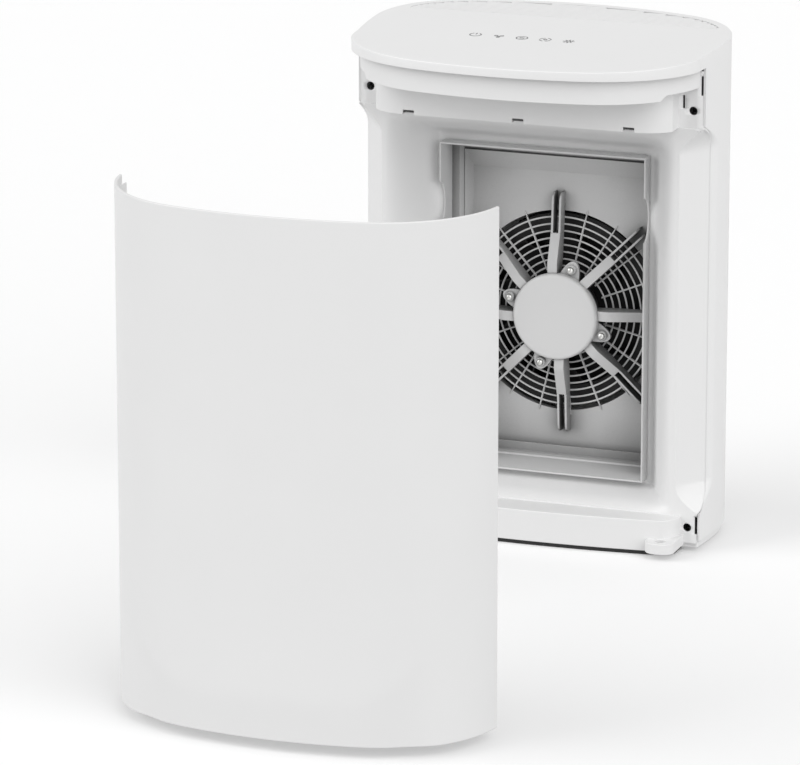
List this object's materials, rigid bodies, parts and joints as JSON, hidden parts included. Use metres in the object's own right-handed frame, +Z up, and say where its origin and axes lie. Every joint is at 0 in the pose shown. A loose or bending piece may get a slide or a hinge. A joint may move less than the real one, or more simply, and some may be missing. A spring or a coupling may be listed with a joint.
{
  "type": "air purifier",
  "caption": "Upright oval room air purifier with its bowed front cover lifted off, showing the empty filter bay, inlet guard, motor bracket and fan.",
  "frame": {"origin": "on the floor, under the middle of the housing's front edges, where the two ends of the closed cover meet them", "axes": "+Z up, +Y from the front cover towards the back of the housing, +X to the right when looking along +Y"},
  "size_m": [0.3768, 0.9032, 0.525],
  "materials": {
    "white_shell": "satin moulded",
    "white_cover": "satin moulded",
    "white_chassis": "fine texture",
    "grey_bay": "fine texture",
    "guard_white": "moulded",
    "bracket_grey": "moulded",
    "impeller_dark": "moulded",
    "icon_grey": "printed",
    "screw_steel": "plated",
    "dark_screw": "black oxide",
    "motor_metal": "cast",
    "bearing_steel": "ground",
    "foot_rubber": "matte",
    "gland_rubber": "matte",
    "circuit_board": "solder resist"
  },
  "bodies": {
    "housing": {"housing_shell": "white_shell", "outlet_grille": "white_shell", "touch_icons": "icon_grey", "control_board": "circuit_board", "chassis_panel": "white_chassis", "control_housing": "white_chassis", "latch_rail": "white_chassis", "filter_bay": "grey_bay", "fan_plate": "grey_bay", "inlet_guard": "guard_white", "motor_bracket": "bracket_grey", "bracket_screws": "screw_steel", "motor_cover": "bracket_grey", "motor_can": "motor_metal", "motor_bearings": "bearing_steel", "fan_scroll": "grey_bay", "base_tray": "white_chassis", "base_lugs": "white_chassis", "rubber_feet": "foot_rubber", "housing_screws": "dark_screw", "power_board": "circuit_board", "cord_gland": "gland_rubber"},
    "rotor": {"motor_shaft": "bearing_steel", "impeller": "impeller_dark", "shaft_clip": "bearing_steel"},
    "cover": {"front_cover": "white_cover", "cover_latch_arms": "white_cover", "cover_edge_tabs": "white_cover"}
  },
  "joints": [
    {"name": "cover_slide", "type": "slide", "parent": "housing", "child": "cover", "axis": [0, 1, 0], "range_m": [0, 0.6255]},
    {"name": "fan_spin", "type": "hinge", "parent": "housing", "child": "rotor", "pos_m": [0, 0.13, 0.2111], "axis": [0, 1, 0], "continuous": true}
  ]
}
